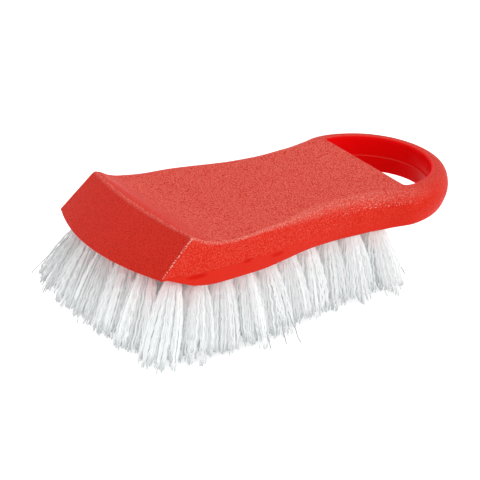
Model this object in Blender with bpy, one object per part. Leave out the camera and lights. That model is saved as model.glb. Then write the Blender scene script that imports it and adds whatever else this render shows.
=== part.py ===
"""Cutting board brush: a moulded block with a hanging loop, filled with wire-anchored tufts.

The block is one polypropylene moulding. Every tuft is a bundle of white filament folded over a
flat wire anchor and driven into a blind hole in the block's underside. X runs along the block
from the nose to the hanging loop, Y across it, and Z up from the plane that the tips stand on.
The model is drawn with X = 0 at the nose, and an empty then carries it to its centred place.
"""
import math

import bmesh
import bpy
import numpy as np
from mathutils import Vector

# Clearances
FIT_GAP = 0.0003            # air between pieces that touch on the real brush
CUT_OVERRUN = 0.004         # how far a cutter runs past the face that it opens
FLATNESS = 0.000001         # a face that bends more than this is split into triangles

# The block in plan
NECK_END = 0.1203           # nose to the flat wall of the hanging slot
HEAD_WIDTH = 0.0830         # widest, along the parting line of the head
SLOT_REACH = 0.0245         # flat wall to the far end of the slot
SLOT_WIDTH = 0.0570         # width of the slot at its flat wall
SLOT_CORNER = 0.0025        # corner radius where the flat wall meets the round
LOOP_END_WALL = 0.0065      # thickness of the loop at its end
LOOP_SIDE_WALL = 0.0088     # thickness of the loop beside the flat wall
NOSE_CORNER_SETBACK = 0.0074    # how far the nose edge sweeps back from its middle to its corners
NOSE_CORNER_ROUND = 0.0012      # corner between the front face and the side
RIDGE_SETBACK = 0.0139      # front ridge behind the nose corner, at the ridge's own corners
RIDGE_BULGE = 0.0029        # how far the ridge bows forward at its middle

# The block in height
UNDERSIDE_HEIGHT = 0.0267   # lowest part of the underside above the tips
BLOCK_DEPTH = 0.0198        # underside to the front ridge
SIDE_DRAFT = 0.18           # inward lean of the side walls, as run over rise
RIDGE_ROUND = 0.0010        # rounding of the front ridge
HEAD_ROUND = 0.0016         # rounding of the top edge along the head
NECK_ROUND = 0.0048         # rounding of the top edge along the neck and loop
HEAD_LOWER_ROUND = 0.0009   # rounding of the lower edge along the head
NECK_LOWER_ROUND = 0.0020   # rounding of the lower edge along the neck
LOOP_LOWER_ROUND = 0.0038   # rounding of the lower edge under the loop
NECK_LOWER_LEAN = 0.32      # inward lean of the wall below the parting line, at the slot
LOOP_LOWER_LEAN = 0.45      # the same at the end of the loop
NOSE_LIP = 0.0007           # depth of the small lip under the nose edge

# The tufts
TUFTS_IN_ROW = (6, 6, 6, 5, 5, 5, 4, 4, 4, 4)
FIRST_ROW = 0.0168          # nose to the outer tufts of the first row
ROW_PITCH = 0.01025         # from row to row, along the side
ROW_BOW = 0.0045            # how far the first row bows forward at its middle
TUFT_EDGE_INSET = 0.0085    # outer tuft centres inside the parting line
FRONT_SPLAY = 0.0115        # forward reach of the first row's tips
SIDE_SPLAY = 0.0080         # sideways reach of the outer tufts' tips on the head
TUFT_RADIUS = 0.0024        # bundle radius in its hole
TUFT_SPREAD = 0.0041        # tip radius of a tuft along the block
STRANDS_IN_RINGS = (7, 3)   # outer and inner strands of a tuft
ROOT_RING_RADIUS = 0.00175  # where the outer strands leave the block
STRAND_ROOT_RADIUS = 0.00048
STRAND_TIP_RADIUS = 0.00105
STRAND_GAP = 0.0006         # air between the tips of neighbouring tufts
TIP_TRIM = 0.0005           # length cut off the tips to make them stand flat
SLICE_DEPTH = 0.0018        # thickness of the slice of block that carries one row
SLICE_WIDTH = 0.0070        # width of that slice
SLICE_END = 0.0042          # slice beyond the outer tuft centres

# The holes and anchors
HOLE_DEPTH = 0.0082         # blind depth below the underside
ANCHOR_DEPTH = 0.0058       # middle of the anchor below the underside
ANCHOR_LENGTH = 0.0062      # longer than the hole is wide, so that its ends grip the block
ANCHOR_HEIGHT = 0.0015
ANCHOR_THICKNESS = 0.0005

# Shares along the neck, nose = 0 and slot wall = 1, against shares of half the head width
SIDE_SHARES = ((0.062, 0.971), (0.115, 0.988), (0.184, 1.0), (0.260, 0.991), (0.343, 0.966),
               (0.443, 0.925), (0.526, 0.880), (0.590, 0.838), (0.663, 0.796), (0.762, 0.772),
               (0.847, 0.786), (0.925, 0.838))
# The same shares along the neck against shares of the block depth
TOP_SHARES = ((0.0, 1.0), (0.180, 1.0), (0.225, 0.880), (0.270, 0.806), (0.360, 0.765),
              (0.443, 0.785), (0.543, 0.795), (0.667, 0.828), (0.760, 0.850), (0.850, 0.872),
              (1.0, 0.872))
PARTING_SHARES = ((0.0, 0.328), (0.540, 0.328), (0.650, 0.360), (0.800, 0.430), (1.0, 0.490))
UNDERSIDE_SHARES = ((0.0, 0.328), (0.062, 0.328), (0.100, 0.250), (0.140, 0.150), (0.185, 0.055),
                    (0.260, 0.0), (0.430, 0.0), (0.520, 0.035), (0.600, 0.062), (0.780, 0.068),
                    (0.900, 0.095), (1.0, 0.140))
LEAN_SHARES = ((0.0, 0.0), (0.780, 0.0), (1.0, 1.0))
LOOP_TOP_SHARE = 0.880
LOOP_PARTING_SHARE = 0.530
LOOP_UNDERSIDE_SHARE = 0.180
ROUND_SHARES = ((0.0, 0.0), (0.400, 0.0), (0.520, 0.25), (0.660, 0.90), (0.750, 1.0), (1.0, 1.0))

# Shares of the bow and splays, row by row
ROW_BOW_SHARES = (1.0, 0.60, 0.30, 0.10, 0.0, 0.0, 0.0, 0.0, 0.0, 0.0)
FRONT_SPLAY_SHARES = (1.0, 0.68, 0.42, 0.22, 0.08, 0.0, -0.03, -0.08, -0.20, -0.42)
SIDE_SPLAY_SHARES = (1.0, 1.0, 1.0, 1.0, 0.90, 0.60, 0.28, 0.12, 0.0, 0.0)
RING_SHARES = (1.0, 0.42)

# How finely the curves are cut
NOSE_STEPS = 6
SIDE_STEPS = 34
LOOP_STEPS = 14
ROUND_STEPS = 3
SLOT_STEPS = 27             # odd, so that a flat facet faces the middle of the loop
HOLE_SIDES = 8
TUFT_SIDES = 6
STRAND_SIDES = 3


def smooth_table(table, at):
    """Read a table of (place, value) shares with a smooth curve that never overshoots."""
    places = np.array([row[0] for row in table])
    values = np.array([row[1] for row in table])
    runs = np.diff(places)
    slopes = np.diff(values) / runs
    tangents = np.zeros(len(places))
    for i in range(1, len(places) - 1):
        if slopes[i - 1] * slopes[i] > 0:
            tangents[i] = 2 * slopes[i - 1] * slopes[i] / (slopes[i - 1] + slopes[i])
    at = min(max(at, places[0]), places[-1])
    i = min(int(np.searchsorted(places, at, side="right")) - 1, len(runs) - 1)
    t = (at - places[i]) / runs[i]
    rise = values[i + 1] - values[i]
    bend_in = tangents[i] * runs[i]
    bend_out = tangents[i + 1] * runs[i]
    return (values[i] + bend_in * t + (3 * rise - 2 * bend_in - bend_out) * t ** 2
            + (bend_in + bend_out - 2 * rise) * t ** 3)


def height(table, x):
    """Height above the tips of one of the block's long curves, at x from the nose."""
    return UNDERSIDE_HEIGHT + BLOCK_DEPTH * smooth_table(table, x / NECK_END)


def loop_half_width():
    """Half width of the loop, outside, at the slot's flat wall."""
    return SLOT_WIDTH / 2 + LOOP_SIDE_WALL


def parting_half_width(x):
    """Half width of the block along its parting line, at x from the nose."""
    loop_share = loop_half_width() / (HEAD_WIDTH / 2)
    return HEAD_WIDTH / 2 * smooth_table(SIDE_SHARES + ((1.0, loop_share),), x / NECK_END)


def top_rounding(x):
    growth = smooth_table(ROUND_SHARES, x / NECK_END)
    return HEAD_ROUND + (NECK_ROUND - HEAD_ROUND) * growth


def lower_rounding(x):
    growth = smooth_table(ROUND_SHARES, x / NECK_END)
    return HEAD_LOWER_ROUND + (NECK_LOWER_ROUND - HEAD_LOWER_ROUND) * growth


def lower_lean(x):
    growth = smooth_table(LEAN_SHARES, x / NECK_END)
    return SIDE_DRAFT + (NECK_LOWER_LEAN - SIDE_DRAFT) * growth


def rounded_edge(before, corner, after, steps):
    """Points of a soft corner: a curve from before to after that is drawn towards corner."""
    points = []
    for step in range(steps + 1):
        t = step / steps
        points.append(before * (1 - t) ** 2 + corner * 2 * t * (1 - t) + after * t ** 2)
    return points


def wall_column(parting, inward, top_z, top_round, low_z, low_round, lean, low_lean):
    """One upright column of points from the top face, round the wall, to the underside.

    inward is the horizontal unit direction into the block, and lean is the run over rise of
    the wall above the parting line, which is steep at the sides and slanted at the nose.
    """
    up_wall = Vector((0, 0, 1)) + inward * lean
    down_wall = Vector((0, 0, -1)) + inward * low_lean
    top_corner = parting + up_wall * (top_z - parting.z)
    low_corner = parting + down_wall * (parting.z - low_z)
    top = rounded_edge(top_corner + inward * top_round, top_corner,
                       top_corner - up_wall.normalized() * top_round, ROUND_STEPS)
    low = rounded_edge(low_corner - down_wall.normalized() * low_round, low_corner,
                       low_corner + inward * low_round, ROUND_STEPS)
    return top + [parting] + low


def nose_columns():
    """Columns along the front face, from its middle to its corner with the side."""
    corner_x = NOSE_CORNER_SETBACK
    half_width = parting_half_width(corner_x)
    parting_z = height(PARTING_SHARES, 0)
    ridge_z = UNDERSIDE_HEIGHT + BLOCK_DEPTH
    columns = []
    for step in range(NOSE_STEPS + 1):
        across = step / NOSE_STEPS
        y = across * (half_width - NOSE_CORNER_ROUND)
        bow = 1 - across ** 2
        nose = Vector((corner_x * (1 - bow), y, parting_z))
        ridge_x = corner_x + RIDGE_SETBACK - RIDGE_BULGE * bow
        lean = (ridge_x - nose.x) / (ridge_z - parting_z)
        narrowing = SIDE_DRAFT * (ridge_z - parting_z) * across
        inward = Vector((1, -narrowing / (ridge_x - nose.x), 0))
        columns.append(wall_column(nose, inward, ridge_z, RIDGE_ROUND, parting_z - NOSE_LIP,
                                   HEAD_LOWER_ROUND / 2, lean, SIDE_DRAFT))
    return columns


def side_columns():
    """Columns along the side wall, from the nose corner to the slot's flat wall."""
    start = NOSE_CORNER_SETBACK + NOSE_CORNER_ROUND
    columns = []
    for step in range(SIDE_STEPS + 1):
        along = step / SIDE_STEPS
        x_low = start + (NECK_END - start) * along
        ridge_start = start + RIDGE_SETBACK
        x_top = ridge_start + (NECK_END - ridge_start) * along
        parting = Vector((x_low, parting_half_width(x_low), height(PARTING_SHARES, x_low)))
        top_z = height(TOP_SHARES, x_top)
        rise = top_z - parting.z
        half_top = parting_half_width(x_top) - SIDE_DRAFT * (top_z - height(PARTING_SHARES, x_top))
        slant = Vector((x_top - x_low, half_top - parting.y, 0)) / rise
        inward = Vector((0, -1, 0))
        round_top = top_rounding(x_top)
        top_corner = parting + (Vector((0, 0, 1)) + slant) * rise
        up_wall = (Vector((0, 0, 1)) + slant).normalized()
        top = rounded_edge(top_corner + inward * round_top, top_corner,
                           top_corner - up_wall * round_top, ROUND_STEPS)
        low_z = min(height(UNDERSIDE_SHARES, x_low), parting.z - NOSE_LIP)
        round_low = min(lower_rounding(x_low), (parting.z - low_z) / 2)
        down_wall = Vector((0, 0, -1)) + inward * lower_lean(x_low)
        low_corner = parting + down_wall * (parting.z - low_z)
        low = rounded_edge(low_corner - down_wall.normalized() * round_low, low_corner,
                           low_corner + inward * round_low, ROUND_STEPS)
        columns.append(top + [parting] + low)
    return columns


def loop_columns():
    """Columns round the hanging loop, from the slot's flat wall to the end of the brush."""
    side = loop_half_width()
    end = SLOT_REACH + LOOP_END_WALL
    columns = []
    for step in range(1, LOOP_STEPS + 1):
        angle = math.pi / 2 * step / LOOP_STEPS
        ease = math.sin(angle)
        parting_z = blend_height(PARTING_SHARES, LOOP_PARTING_SHARE, ease)
        outer = Vector((NECK_END + end * math.sin(angle), side * math.cos(angle), parting_z))
        inward = Vector((-math.sin(angle) / end, -math.cos(angle) / side, 0)).normalized()
        top_z = blend_height(TOP_SHARES, LOOP_TOP_SHARE, ease)
        low_z = blend_height(UNDERSIDE_SHARES, LOOP_UNDERSIDE_SHARE, ease)
        low_round = NECK_LOWER_ROUND + (LOOP_LOWER_ROUND - NECK_LOWER_ROUND) * ease
        low_lean = NECK_LOWER_LEAN + (LOOP_LOWER_LEAN - NECK_LOWER_LEAN) * ease
        columns.append(wall_column(outer, inward, top_z, NECK_ROUND, low_z, low_round,
                                   SIDE_DRAFT, low_lean))
    return columns


def blend_height(table, loop_share, ease):
    """Height that eases from the table's end at the flat wall to the loop's own share."""
    at_wall = height(table, NECK_END)
    at_loop = UNDERSIDE_HEIGHT + BLOCK_DEPTH * loop_share
    return at_wall + (at_loop - at_wall) * ease


def block_mesh():
    """The block before anything is cut: columns mirrored across Y, capped by rungs."""
    near = nose_columns() + side_columns() + loop_columns()
    bm = bmesh.new()
    right = [[bm.verts.new(point) for point in column] for column in near]
    left = [right[0]]
    for column in near[1:-1]:
        left.append([bm.verts.new((point.x, -point.y, point.z)) for point in column])
    left.append(right[-1])
    for rail in (right, left):
        for here, there in zip(rail, rail[1:]):
            for k in range(len(here) - 1):
                bm.faces.new((here[k], there[k], there[k + 1], here[k + 1]))
    bmesh.ops.triangulate(bm, faces=bm.faces)
    for k in (0, len(near[0]) - 1):
        for i in range(len(near) - 1):
            rung = [right[i][k], right[i + 1][k], left[i + 1][k], left[i][k]]
            corners = [v for n, v in enumerate(rung) if v not in rung[:n]]
            bm.faces.new(corners)
    return finish_mesh(bm, "block_blank")


def finish_mesh(bm, name):
    """Turn a bmesh into a mesh with its faces pointing out."""
    bmesh.ops.recalc_face_normals(bm, faces=bm.faces)
    mesh = bpy.data.meshes.new(name)
    bm.to_mesh(mesh)
    bm.free()
    return mesh


def add_prism(bm, lower, upper):
    """Add a closed prism between two outlines that have the same number of points."""
    first = [bm.verts.new(point) for point in lower]
    second = [bm.verts.new(point) for point in upper]
    count = len(first)
    bm.faces.new(first)
    bm.faces.new(second)
    for i in range(count):
        j = (i + 1) % count
        bm.faces.new((first[i], first[j], second[j], second[i]))


def add_tube(bm, rings):
    """Add a closed tube through rings of points, one flat cap at each end."""
    loops = [[bm.verts.new(point) for point in ring] for ring in rings]
    bm.faces.new(loops[0])
    bm.faces.new(loops[-1])
    for here, there in zip(loops, loops[1:]):
        for i in range(len(here)):
            j = (i + 1) % len(here)
            bm.faces.new((here[i], here[j], there[j], there[i]))


def bent_faces(bm):
    """The faces with more corners than three that don't lie in one plane."""
    bm.normal_update()
    bent = []
    for face in bm.faces:
        middle = face.calc_center_median()
        lift = max(abs((vert.co - middle).dot(face.normal)) for vert in face.verts)
        if lift > FLATNESS:
            bent.append(face)
    return bent


def slot_outline():
    """The D-shaped hanging slot in plan: a flat wall, two soft corners and a half ellipse."""
    half = SLOT_WIDTH / 2
    points = [(NECK_END, half - SLOT_CORNER), (NECK_END, SLOT_CORNER - half)]
    soft = SLOT_CORNER * (1 - math.cos(math.pi / 4))
    points.append((NECK_END + soft, soft - half))
    start = math.asin(SLOT_CORNER / SLOT_REACH)
    for step in range(SLOT_STEPS + 1):
        angle = start + (math.pi - 2 * start) * step / SLOT_STEPS
        points.append((NECK_END + SLOT_REACH * math.sin(angle), -half * math.cos(angle)))
    points.append((NECK_END + soft, half - soft))
    return points


class Tuft:
    """One tuft: where it leaves the underside, which way it leans, and the frame of its hole."""

    def __init__(self, row, column):
        count = TUFTS_IN_ROW[row]
        across = 2 * column / (count - 1) - 1
        side_x = FIRST_ROW + ROW_PITCH * row
        bow = ROW_BOW * ROW_BOW_SHARES[row] * (1 - across ** 2)
        half_span = parting_half_width(side_x) - TUFT_EDGE_INSET
        self.name = f"{row + 1:02d}_{column + 1}"
        self.root = Vector((side_x - bow, half_span * across, 0))
        self.root.z = height(UNDERSIDE_SHARES, self.root.x)
        forward = FRONT_SPLAY * FRONT_SPLAY_SHARES[row] - bow / 2
        sideways = SIDE_SPLAY * SIDE_SPLAY_SHARES[row] * across
        self.tip = Vector((self.root.x - forward, self.root.y + sideways, 0))
        tip_pitch = 2 * (half_span + SIDE_SPLAY * SIDE_SPLAY_SHARES[row]) / (count - 1)
        self.tip_width = tip_pitch / 2 - STRAND_TIP_RADIUS - STRAND_GAP / 2
        self.axis = (self.root - self.tip).normalized()
        self.wire = (Vector((0, 1, 0)) - self.axis * self.axis.y).normalized()
        self.side = self.wire.cross(self.axis)

    def place(self, u, v, depth):
        """World point of a place in the hole: u beside and v along the wire, depth up the hole."""
        return self.root + self.side * u + self.wire * v + self.axis * depth


def hole_radius():
    """Corner radius of a hole whose flats clear the bundle by the fit gap."""
    return (TUFT_RADIUS + FIT_GAP) / math.cos(math.pi / HOLE_SIDES)


def keyhole_outline():
    """A drilled hole with a groove either side, where the anchor's ends cut into the block."""
    radius = hole_radius()
    flat = radius * math.cos(math.pi / HOLE_SIDES)
    groove = ANCHOR_THICKNESS / 2 + FIT_GAP
    reach = ANCHOR_LENGTH / 2 + FIT_GAP
    turns = range(HOLE_SIDES // 2)
    half_turn = [math.pi / 2 - math.pi / HOLE_SIDES - 2 * math.pi / HOLE_SIDES * k for k in turns]
    right = [(radius * math.cos(angle), radius * math.sin(angle)) for angle in half_turn]
    left = [(-u, -v) for u, v in right]
    lower_ear = [(groove, -flat), (groove, -reach), (-groove, -reach), (-groove, -flat)]
    upper_ear = [(-groove, flat), (-groove, reach), (groove, reach), (groove, flat)]
    return right + lower_ear + left + upper_ear


def bundle_outline():
    """Hexagonal section of the filaments packed in a hole, with a flat facing along the wire."""
    turns = [math.pi / 2 + (2 * k + 1) * math.pi / TUFT_SIDES for k in range(TUFT_SIDES)]
    return [(TUFT_RADIUS * math.cos(angle), TUFT_RADIUS * math.sin(angle)) for angle in turns]


def slice_sections(row, tufts, margin, below):
    """Four-cornered sections of the slice that carries a row, grown by margin and run below."""
    half = SLICE_WIDTH / 2 + margin
    reach = tufts[-1].root.y + SLICE_END + margin
    side_x = FIRST_ROW + ROW_PITCH * row
    bow = ROW_BOW * ROW_BOW_SHARES[row]
    steps = 2 * (len(tufts) - 1) if bow > 0 else 1
    sections = []
    for step in range(steps + 1):
        across = 2 * step / steps - 1
        y = reach * across
        x = side_x - bow * (1 - (y / tufts[-1].root.y) ** 2)
        front_z = height(UNDERSIDE_SHARES, x - half)
        rear_z = height(UNDERSIDE_SHARES, x + half)
        top = SLICE_DEPTH + margin
        sections.append([Vector((x - half, y, front_z - below)), Vector((x + half, y, rear_z - below)),
                         Vector((x + half, y, rear_z + top)), Vector((x - half, y, front_z + top))])
    return sections


def strand_rings(tuft, ring_share, angle):
    """The two three-cornered ends of one strand: inside the slice, and cut flat at the tip."""
    offset = Vector((math.cos(angle), math.sin(angle), 0)) * ring_share
    root = tuft.root + offset * ROOT_RING_RADIUS
    root.z = height(UNDERSIDE_SHARES, root.x) + SLICE_DEPTH / 2
    uncut = tuft.tip + Vector((offset.x * TUFT_SPREAD, offset.y * tuft.tip_width, -TIP_TRIM))
    tip = root.lerp(uncut, root.z / (root.z - uncut.z))
    tip.z = 0
    turns = [angle + 2 * math.pi * k / STRAND_SIDES for k in range(STRAND_SIDES)]
    corners = [Vector((math.cos(turn), math.sin(turn), 0)) for turn in turns]
    return [[root + corner * STRAND_ROOT_RADIUS for corner in corners],
            [tip + corner * STRAND_TIP_RADIUS for corner in corners]]


def material(name, colour, roughness, metallic):
    finish = bpy.data.materials.new(name)
    finish.use_nodes = True
    shader = finish.node_tree.nodes["Principled BSDF"]
    shader.inputs["Base Color"].default_value = (*colour, 1.0)
    shader.inputs["Roughness"].default_value = roughness
    shader.inputs["Metallic"].default_value = metallic
    finish.diffuse_color = (*colour, 1.0)
    return finish


def new_object(name, mesh, finish, carrier):
    thing = bpy.data.objects.new(name, mesh)
    bpy.context.collection.objects.link(thing)
    thing.parent = carrier
    if finish is not None:
        mesh.materials.append(finish)
    return thing


def new_cutter(name, mesh, carrier):
    cutter = new_object(name, mesh, None, carrier)
    cutter.hide_render = True
    cutter.display_type = "WIRE"
    return cutter


def add_boolean(thing, cutter, operation):
    cut = thing.modifiers.new(cutter.name, "BOOLEAN")
    cut.operation = operation
    cut.solver = "EXACT"
    cut.object = cutter


def make_block(rows, finish, carrier):
    """The moulded block with its slot, a pocket for each row's slice and a hole for each tuft."""
    block = new_object("handle_block", block_mesh(), finish, carrier)
    low = UNDERSIDE_HEIGHT - CUT_OVERRUN
    high = UNDERSIDE_HEIGHT + BLOCK_DEPTH + CUT_OVERRUN
    bm = bmesh.new()
    outline = slot_outline()
    add_prism(bm, [Vector((x, y, low)) for x, y in outline],
              [Vector((x, y, high)) for x, y in outline])
    add_boolean(block, new_cutter("slot_cutter", finish_mesh(bm, "slot_cutter"), carrier),
                "DIFFERENCE")
    bm = bmesh.new()
    for row, tufts in enumerate(rows):
        add_tube(bm, slice_sections(row, tufts, FIT_GAP, CUT_OVERRUN))
    bmesh.ops.triangulate(bm, faces=bent_faces(bm))
    add_boolean(block, new_cutter("slice_cutter", finish_mesh(bm, "slice_cutter"), carrier),
                "DIFFERENCE")
    bm = bmesh.new()
    keyhole = keyhole_outline()
    for tuft in sum(rows, []):
        add_prism(bm, [tuft.place(u, v, 0) for u, v in keyhole],
                  [tuft.place(u, v, HOLE_DEPTH) for u, v in keyhole])
    add_boolean(block, new_cutter("hole_cutter", finish_mesh(bm, "hole_cutter"), carrier),
                "DIFFERENCE")
    return block


def make_row(row, tufts, finish, carrier):
    """One row: its slice of the block, its bundles in their holes and their splayed strands."""
    number = f"{row + 1:02d}"
    bm = bmesh.new()
    add_tube(bm, slice_sections(row, tufts, 0, 0))
    bmesh.ops.triangulate(bm, faces=bent_faces(bm))
    thing = new_object(f"tuft_row_{number}", finish_mesh(bm, f"tuft_row_{number}"), finish, carrier)
    bm = bmesh.new()
    bundle = bundle_outline()
    seat = SLICE_DEPTH * 3 / 4
    for tuft in tufts:
        add_prism(bm, [tuft.place(u, v, seat) for u, v in bundle],
                  [tuft.place(u, v, HOLE_DEPTH - FIT_GAP) for u, v in bundle])
        for count, ring_share in zip(STRANDS_IN_RINGS, RING_SHARES):
            for k in range(count):
                angle = 2 * math.pi * (k + 0.5) / count
                add_tube(bm, strand_rings(tuft, ring_share, angle))
    filaments = new_cutter(f"filaments_{number}", finish_mesh(bm, f"filaments_{number}"), carrier)
    add_boolean(thing, filaments, "UNION")
    bm = bmesh.new()
    thick = ANCHOR_THICKNESS / 2 + FIT_GAP
    tall = ANCHOR_HEIGHT / 2 + FIT_GAP
    for tuft in tufts:
        fold = [(-thick, -TUFT_RADIUS), (thick, -TUFT_RADIUS), (thick, TUFT_RADIUS),
                (-thick, TUFT_RADIUS)]
        add_prism(bm, [tuft.place(u, v * 2, ANCHOR_DEPTH - tall) for u, v in fold],
                  [tuft.place(u, v * 2, ANCHOR_DEPTH + tall) for u, v in fold])
    folds = new_cutter(f"folds_{number}", finish_mesh(bm, f"folds_{number}"), carrier)
    add_boolean(thing, folds, "DIFFERENCE")
    return thing


def make_anchor(tuft, finish, carrier):
    """A flat wire anchor across the fold of one tuft."""
    thick = ANCHOR_THICKNESS / 2
    long = ANCHOR_LENGTH / 2
    tall = ANCHOR_HEIGHT / 2
    section = [(-thick, -long), (thick, -long), (thick, long), (-thick, long)]
    bm = bmesh.new()
    add_prism(bm, [tuft.place(u, v, ANCHOR_DEPTH - tall) for u, v in section],
              [tuft.place(u, v, ANCHOR_DEPTH + tall) for u, v in section])
    name = f"anchor_{tuft.name}"
    return new_object(name, finish_mesh(bm, name), finish, carrier)


def centre_on_origin(carrier, things):
    """Carry the finished brush so that its box stands centred over the origin."""
    bpy.context.view_layer.update()
    graph = bpy.context.evaluated_depsgraph_get()
    corners = []
    for thing in things:
        mesh = thing.evaluated_get(graph).to_mesh()
        places = np.empty(len(mesh.vertices) * 3)
        mesh.vertices.foreach_get("co", places)
        places = places.reshape(-1, 3)
        corners.append(places.min(axis=0))
        corners.append(places.max(axis=0))
        thing.evaluated_get(graph).to_mesh_clear()
    low = np.min(corners, axis=0)
    high = np.max(corners, axis=0)
    carrier.location = (-(low[0] + high[0]) / 2, -(low[1] + high[1]) / 2, -low[2])
    bpy.context.view_layer.update()


def main():
    for thing in list(bpy.data.objects):
        bpy.data.objects.remove(thing, do_unlink=True)
    polypropylene = material("red_polypropylene", (0.76, 0.035, 0.022), 0.42, 0.0)
    filament = material("white_filament", (0.86, 0.86, 0.88), 0.55, 0.0)
    wire = material("plated_wire", (0.72, 0.71, 0.68), 0.3, 1.0)
    carrier = bpy.data.objects.new("brush_origin", None)
    bpy.context.collection.objects.link(carrier)
    rows = [[Tuft(row, column) for column in range(count)]
            for row, count in enumerate(TUFTS_IN_ROW)]
    block = make_block(rows, polypropylene, carrier)
    filled = [make_row(row, tufts, filament, carrier) for row, tufts in enumerate(rows)]
    for tuft in sum(rows, []):
        make_anchor(tuft, wire, carrier)
    centre_on_origin(carrier, [block] + filled)


main()
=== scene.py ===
# %% [markdown]
# # A cutting board brush
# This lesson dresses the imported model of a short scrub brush: a red moulded block with a slanted
# nose, a waisted neck and a D-shaped hanging loop, filled with tufts of white crimped filament.
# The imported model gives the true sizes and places. Each cell below makes one visible piece or
# finish, says what it is on the real brush, and prints what it made.

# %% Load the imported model
import math
from functools import partial

import bpy
import numpy as np
from mathutils import Euler, Matrix, Vector


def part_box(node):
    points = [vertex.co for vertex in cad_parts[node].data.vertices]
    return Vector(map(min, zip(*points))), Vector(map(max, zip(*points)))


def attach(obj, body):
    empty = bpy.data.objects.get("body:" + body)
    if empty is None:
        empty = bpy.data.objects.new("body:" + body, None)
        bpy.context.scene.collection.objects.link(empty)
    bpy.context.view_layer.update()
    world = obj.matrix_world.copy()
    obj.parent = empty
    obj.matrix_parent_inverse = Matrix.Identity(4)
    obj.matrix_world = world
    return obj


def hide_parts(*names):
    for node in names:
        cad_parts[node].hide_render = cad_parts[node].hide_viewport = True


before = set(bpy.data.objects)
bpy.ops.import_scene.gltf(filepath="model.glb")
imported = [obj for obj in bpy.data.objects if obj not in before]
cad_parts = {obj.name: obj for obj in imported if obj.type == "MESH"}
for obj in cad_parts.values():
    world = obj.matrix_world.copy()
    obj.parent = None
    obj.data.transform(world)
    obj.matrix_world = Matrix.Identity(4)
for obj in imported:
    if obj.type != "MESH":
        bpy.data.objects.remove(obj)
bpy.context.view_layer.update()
block_low, block_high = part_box("handle_block")
MM = 0.001
print("block from", tuple(block_low), "to", tuple(block_high))

# %% [markdown]
# The photograph was taken with a long lens, a little above the brush and from the nose's side.
# The camera stands where the block's own corners, edges and parting line say that it stood, so
# its turn, height and distance are measured values. It could be aimed at an empty, but one turn,
# and a move along its own axes from a point on the block, is simpler and exact.

# %% Camera at the photograph's viewing angle
PHOTO_TURN, PHOTO_RISE = math.radians(30.27), math.radians(22.741)
PHOTO_DISTANCE = 1.1404
PHOTO_AIM_ACROSS, PHOTO_AIM_UP = 0.03701, 0.02927
PHOTO_LENS = 225.0
RIDGE_FROM_NOSE = 0.0213


def add_object(name, data):
    """Put a camera, a lamp or a mesh in the scene."""
    made = bpy.data.objects.new(name, data)
    bpy.context.scene.collection.objects.link(made)
    return made


below_ridge = Vector((block_low.x + RIDGE_FROM_NOSE, 0, 0))
turn = Euler((math.pi / 2 - PHOTO_RISE, 0, -PHOTO_TURN)).to_matrix().to_4x4()
camera_place = below_ridge + turn @ Vector((PHOTO_AIM_ACROSS, PHOTO_AIM_UP, PHOTO_DISTANCE))
camera_data = bpy.data.cameras.new("photo_camera")
camera_data.lens = PHOTO_LENS
camera = add_object("photo_camera", camera_data)
camera.matrix_world = Matrix.Translation(camera_place) @ turn
bpy.context.scene.camera = camera
print("camera at", tuple(round(value, 4) for value in camera.location))

# %% [markdown]
# Most pieces here are surfaces worked out with numpy: an array of points on a grid, whose rows
# and columns are then joined into four-sided faces. A grid closes on itself, as a ring or a tube
# does. The sign of a closed mesh's volume says whether its faces look outwards.

# %% Helpers that turn grids of points into meshes


def joined(*parts):
    """Coordinates side by side on the last axis of one array. A plain number is repeated."""
    return np.stack(np.broadcast_arrays(*parts), axis=-1)


def grid_faces(rows, columns, close_rows=True):
    """Corner numbers of the four-sided faces between the rows and columns of a grid of points. The
    last column is joined to the first, and so is the last row where close_rows is true."""
    down, step = np.meshgrid(np.arange(rows if close_rows else rows - 1), np.arange(columns),
                             indexing="ij")
    down_next = (down + 1) % rows
    step_next = (step + 1) % columns
    corners = joined(down * columns + step, down * columns + step_next,
                     down_next * columns + step_next, down_next * columns + step)
    return corners.reshape(-1, 4)


def repeated(faces, copies, step):
    """The same faces for each of many equal shapes, whose points start a step apart."""
    return (faces[None] + np.arange(copies)[:, None, None] * step).reshape(-1, faces.shape[1])


def enclosed_volume(points, faces):
    """Volume inside a closed mesh of four-sided faces: the sum of the wedges from the origin to
    the two triangles of each face. It is negative where the faces point inwards."""
    a, b, c, d = (points[faces[:, k]] for k in range(4))
    return np.einsum("ij,ij->", a, np.cross(b, c) + np.cross(c, d)) / 6


def facing_out(points, faces):
    """The faces, turned round if the closed mesh that they make has a negative volume."""
    return faces[:, ::-1] if enclosed_volume(points, faces) < 0 else faces


def mesh_from_arrays(name, points, *face_sets):
    """A smooth-shaded mesh from an array of points and arrays of faces. All faces of one array
    have the same number of corners."""
    corners = np.concatenate([faces.ravel() for faces in face_sets])
    sides = np.concatenate([np.full(len(faces), faces.shape[1]) for faces in face_sets])
    mesh = bpy.data.meshes.new(name)
    mesh.vertices.add(len(points))
    mesh.vertices.foreach_set("co", points.astype(np.float32).ravel())
    mesh.loops.add(len(corners))
    mesh.loops.foreach_set("vertex_index", corners.astype(np.int32))
    mesh.polygons.add(len(sides))
    mesh.polygons.foreach_set("loop_start", (np.cumsum(sides) - sides).astype(np.int32))
    mesh.update(calc_edges=True)
    mesh.validate()
    mesh.shade_smooth()
    return mesh


def add_point_values(mesh, name, values):
    """Store one number for each point, for a material to read."""
    attribute = mesh.attributes.new(name, "FLOAT", "POINT")
    attribute.data.foreach_set("value", np.asarray(values, np.float32).ravel())


def show_piece(mesh, finish, body="root"):
    """Put a mesh in the scene with its finish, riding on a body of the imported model."""
    piece = add_object(mesh.name, mesh)
    mesh.materials.append(finish)
    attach(piece, body)
    return piece


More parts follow.
